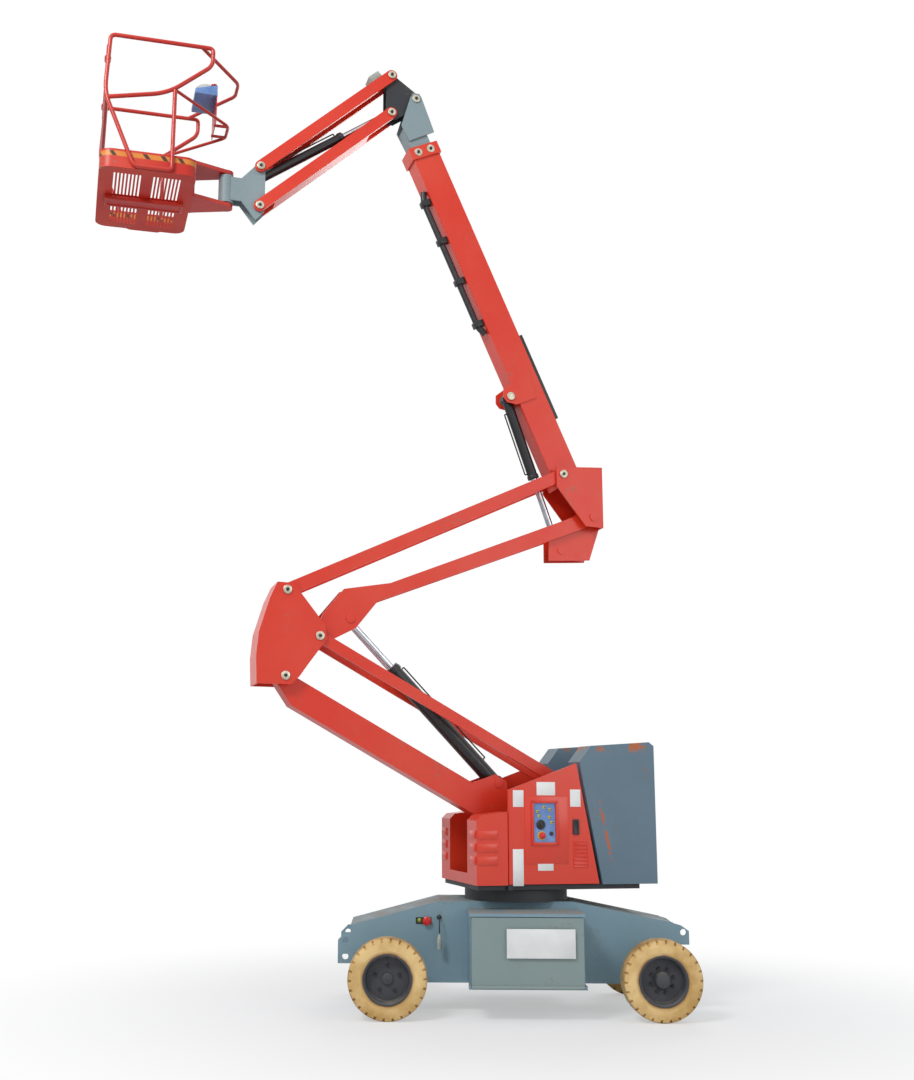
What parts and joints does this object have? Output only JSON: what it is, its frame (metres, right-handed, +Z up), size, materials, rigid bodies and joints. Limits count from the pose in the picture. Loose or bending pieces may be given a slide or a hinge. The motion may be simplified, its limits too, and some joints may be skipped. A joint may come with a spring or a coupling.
{
  "type": "articulating boom lift",
  "caption": "Self-propelled articulating boom lift: wheeled chassis, slewing turret, folding arms, telescopic boom, jib and a railed work platform.",
  "frame": {"origin": "on the ground under the slew axis of the turret", "axes": "+X along the chassis towards the steered wheels, -Y to the machine's left side, +Z up"},
  "size_m": [4.7893, 2.1506, 7.738],
  "materials": {
    "battery_case": "matte",
    "black_paint": "gloss",
    "blue_grey_paint": "satin",
    "console_plastic": "satin",
    "counterweight_paint": "satin",
    "dark_paint": "satin",
    "grey_green_paint": "satin",
    "panel_blue": "satin",
    "red_paint": "gloss",
    "red_panel": "gloss",
    "rim_paint": "satin",
    "rod_chrome": "polished",
    "tyre": "matte"
  },
  "bodies": {
    "chassis": {"chassis_frame": "blue_grey_paint", "drive_axle": "dark_paint", "steer_axle": "dark_paint", "battery_boxes": "blue_grey_paint", "battery_packs": "battery_case", "slew_ring": "dark_paint"},
    "battery_door_left": {"battery_door_left": "blue_grey_paint"},
    "battery_door_right": {"battery_door_right": "blue_grey_paint"},
    "steer_knuckle_left": {"steer_knuckle_left": "dark_paint"},
    "steer_knuckle_right": {"steer_knuckle_right": "dark_paint"},
    "wheel_drive_left": {"rim_drive_left": "rim_paint", "tyre_drive_left": "tyre"},
    "wheel_drive_right": {"rim_drive_right": "rim_paint", "tyre_drive_right": "tyre"},
    "wheel_steer_left": {"rim_steer_left": "rim_paint", "tyre_steer_left": "tyre"},
    "wheel_steer_right": {"rim_steer_right": "rim_paint", "tyre_steer_right": "tyre"},
    "turret": {"turret_frame": "dark_paint", "counterweight": "counterweight_paint", "turret_fairing": "red_panel", "hydraulic_unit": "dark_paint"},
    "turret_door_left": {"turret_door_left": "red_panel", "control_panel": "panel_blue"},
    "turret_door_right": {"turret_door_right": "red_panel"},
    "lower_arm": {"lower_arm": "red_paint"},
    "lower_link": {"lower_link": "red_paint"},
    "lower_knuckle": {"lower_knuckle": "red_paint"},
    "upper_arm": {"upper_arm": "red_paint"},
    "upper_link": {"upper_link": "red_paint"},
    "upper_knuckle": {"upper_knuckle": "red_paint"},
    "lift_barrel": {"lift_barrel": "black_paint"},
    "lift_rod": {"lift_rod": "rod_chrome"},
    "main_boom": {"main_boom": "red_paint"},
    "boom_barrel": {"boom_barrel": "black_paint"},
    "boom_rod": {"boom_rod": "rod_chrome"},
    "inner_boom": {"inner_boom": "grey_green_paint", "boom_head": "grey_green_paint"},
    "jib_bracket": {"jib_bracket": "dark_paint"},
    "jib_upper_tube": {"jib_upper_tube": "red_paint"},
    "jib_lower_tube": {"jib_lower_tube": "red_paint"},
    "jib_end_bracket": {"jib_end_bracket": "grey_green_paint"},
    "jib_barrel": {"jib_barrel": "black_paint"},
    "jib_rod": {"jib_rod": "rod_chrome"},
    "basket": {"basket_floor": "red_paint", "basket_frame": "red_paint", "basket_mount": "red_paint", "control_console": "console_plastic"},
    "basket_gate": {"basket_gate": "red_paint"}
  },
  "joints": [
    {"name": "wheel_drive_left_spin", "type": "hinge", "parent": "chassis", "child": "wheel_drive_left", "pos_m": [-1, -0.655, 0.29], "axis": [0, 1, 0], "continuous": true},
    {"name": "wheel_drive_right_spin", "type": "hinge", "parent": "chassis", "child": "wheel_drive_right", "pos_m": [-1, 0.655, 0.29], "axis": [0, 1, 0], "continuous": true},
    {"name": "wheel_steer_left_spin", "type": "hinge", "parent": "steer_knuckle_left", "child": "wheel_steer_left", "pos_m": [1, -0.655, 0.29], "axis": [0, 1, 0], "continuous": true},
    {"name": "wheel_steer_right_spin", "type": "hinge", "parent": "steer_knuckle_right", "child": "wheel_steer_right", "pos_m": [1, 0.655, 0.29], "axis": [0, 1, 0], "continuous": true},
    {"name": "steer_left", "type": "hinge", "parent": "chassis", "child": "steer_knuckle_left", "pos_m": [1, -0.5, 0.29], "axis": [0, 0, 1], "range_deg": [-38, 38]},
    {"name": "steer_right", "type": "hinge", "parent": "chassis", "child": "steer_knuckle_right", "pos_m": [1, 0.5, 0.29], "axis": [0, 0, 1], "range_deg": [-38.01, 38.01]},
    {"name": "battery_door_left_open", "type": "hinge", "parent": "chassis", "child": "battery_door_left", "pos_m": [0, -0.7403, 0.242], "axis": [1, 0, 0], "range_deg": [0, 90]},
    {"name": "battery_door_right_open", "type": "hinge", "parent": "chassis", "child": "battery_door_right", "pos_m": [0, 0.7403, 0.242], "axis": [-1, 0, 0], "range_deg": [0, 90]},
    {"name": "turret_slew", "type": "hinge", "parent": "chassis", "child": "turret", "pos_m": [0, 0, 0.88], "axis": [0, 0, 1], "range_deg": [-177.5, 177.5]},
    {"name": "turret_door_left_open", "type": "hinge", "parent": "turret", "child": "turret_door_left", "pos_m": [-0.08293, -0.48212, 1.2], "axis": [0, 0, -1], "range_deg": [0, 80]},
    {"name": "turret_door_right_open", "type": "hinge", "parent": "turret", "child": "turret_door_right", "pos_m": [-0.30627, 0.38147, 1.2], "axis": [0, 0, 1], "range_deg": [0, 80]},
    {"name": "arm_lift", "type": "hinge", "parent": "turret", "child": "lower_arm", "pos_m": [0.44825, 0.11593, 1.183], "axis": [-0.2504, 0.9681, 0], "range_deg": [-27, 33]},
    {"name": "lower_link_follow", "type": "hinge", "parent": "turret", "child": "lower_link", "pos_m": [0.70288, 0.18178, 1.496], "axis": [-0.2504, 0.9681, 0], "range_deg": [-27.01, 33.01]},
    {"name": "lower_knuckle_level", "type": "hinge", "parent": "lower_arm", "child": "lower_knuckle", "pos_m": [-1.838, -0.47534, 2.49199], "axis": [0.2504, -0.9681, 0], "range_deg": [-27.01, 33.01]},
    {"name": "upper_arm_follow", "type": "hinge", "parent": "lower_knuckle", "child": "upper_arm", "pos_m": [-1.58338, -0.40949, 2.80499], "axis": [0.2504, -0.9681, 0], "range_deg": [-18.01, 22.01]},
    {"name": "upper_link_follow", "type": "hinge", "parent": "lower_knuckle", "child": "upper_link", "pos_m": [-1.838, -0.47534, 3.15499], "axis": [0.2504, -0.9681, 0], "range_deg": [-18.01, 22.01]},
    {"name": "upper_knuckle_level", "type": "hinge", "parent": "upper_arm", "child": "upper_knuckle", "pos_m": [0.64268, 0.16621, 3.87717], "axis": [-0.2504, 0.9681, 0], "range_deg": [-18.01, 22.01]},
    {"name": "lift_barrel_swing", "type": "hinge", "parent": "lower_arm", "child": "lift_barrel", "pos_m": [-0.16168, -0.04181, 1.697], "axis": [0.2504, -0.9681, 0], "range_deg": [-0.258, 0.213]},
    {"name": "lift_rod_slide", "type": "slide", "parent": "lift_barrel", "child": "lift_rod", "axis": [-0.6716, -0.1737, 0.7203], "range_m": [-0.39925, 0.48787]},
    {"name": "boom_lift", "type": "hinge", "parent": "upper_knuckle", "child": "main_boom", "pos_m": [0.38806, 0.10036, 4.22717], "axis": [-0.2504, 0.9681, 0], "range_deg": [-62, 10]},
    {"name": "boom_barrel_swing", "type": "hinge", "parent": "main_boom", "child": "boom_barrel", "pos_m": [-0.03308, -0.00856, 4.88417], "axis": [0.2504, -0.9681, 0], "range_deg": [-26.36, 4.26]},
    {"name": "boom_rod_slide", "type": "slide", "parent": "boom_barrel", "child": "boom_rod", "axis": [0.3183, 0.0823, -0.9444], "range_m": [-0.34975, 0.05683]},
    {"name": "boom_telescope", "type": "slide", "parent": "main_boom", "child": "inner_boom", "axis": [-0.3938, -0.1018, 0.9135], "range_m": [0, 2.4]},
    {"name": "jib_bracket_level", "type": "hinge", "parent": "inner_boom", "child": "jib_bracket", "pos_m": [-0.83357, -0.21558, 7.496], "axis": [0.2504, -0.9681, 0], "range_deg": [-62.01, 10.01]},
    {"name": "jib_lift", "type": "hinge", "parent": "jib_bracket", "child": "jib_lower_tube", "pos_m": [-1.04269, -0.26966, 7.34], "axis": [-0.2504, 0.9681, 0], "range_deg": [-25, 75]},
    {"name": "jib_upper_follow", "type": "hinge", "parent": "jib_bracket", "child": "jib_upper_tube", "pos_m": [-1.04269, -0.26966, 7.69], "axis": [-0.2504, 0.9681, 0], "range_deg": [-25.01, 75.01]},
    {"name": "jib_end_level", "type": "hinge", "parent": "jib_lower_tube", "child": "jib_end_bracket", "pos_m": [-2.11807, -0.54777, 6.34687], "axis": [0.2504, -0.9681, 0], "range_deg": [-25.01, 75.01]},
    {"name": "jib_barrel_swing", "type": "hinge", "parent": "jib_end_bracket", "child": "jib_barrel", "pos_m": [-2.1568, -0.55779, 6.58687], "axis": [0.2504, -0.9681, 0], "range_deg": [-72.58, 24.2]},
    {"name": "jib_rod_slide", "type": "slide", "parent": "jib_barrel", "child": "jib_rod", "axis": [0.7964, 0.206, 0.5686], "range_m": [-0.07479, 0.22336]},
    {"name": "basket_rotate", "type": "hinge", "parent": "jib_end_bracket", "child": "basket", "pos_m": [-2.38164, -0.61594, 6.5], "axis": [0, 0, 1], "range_deg": [-70, 70]},
    {"name": "basket_gate_open", "type": "hinge", "parent": "basket", "child": "basket_gate", "pos_m": [-3.35657, -0.86807, 7.29], "axis": [0.2504, -0.9681, 0], "range_deg": [0, 80]}
  ],
  "couplings": [
    {"joint": "steer_right", "follows": "steer_left", "ratio": 1},
    {"joint": "lower_link_follow", "follows": "arm_lift", "ratio": 1},
    {"joint": "lower_knuckle_level", "follows": "arm_lift", "ratio": 1},
    {"joint": "upper_arm_follow", "follows": "arm_lift", "ratio": 0.66667},
    {"joint": "upper_link_follow", "follows": "arm_lift", "ratio": 0.66667},
    {"joint": "upper_knuckle_level", "follows": "arm_lift", "ratio": 0.66667},
    {"joint": "lift_barrel_swing", "follows": "arm_lift", "ratio": -0.007518},
    {"joint": "lift_rod_slide", "follows": "arm_lift", "m_per_rad": 0.84618},
    {"joint": "boom_barrel_swing", "follows": "boom_lift", "ratio": 0.42495},
    {"joint": "boom_rod_slide", "follows": "boom_lift", "m_per_rad": 0.32275},
    {"joint": "jib_bracket_level", "follows": "boom_lift", "ratio": 1},
    {"joint": "jib_upper_follow", "follows": "jib_lift", "ratio": 1},
    {"joint": "jib_end_level", "follows": "jib_lift", "ratio": 1},
    {"joint": "jib_barrel_swing", "follows": "jib_lift", "ratio": -0.96759},
    {"joint": "jib_rod_slide", "follows": "jib_lift", "m_per_rad": 0.17025}
  ]
}
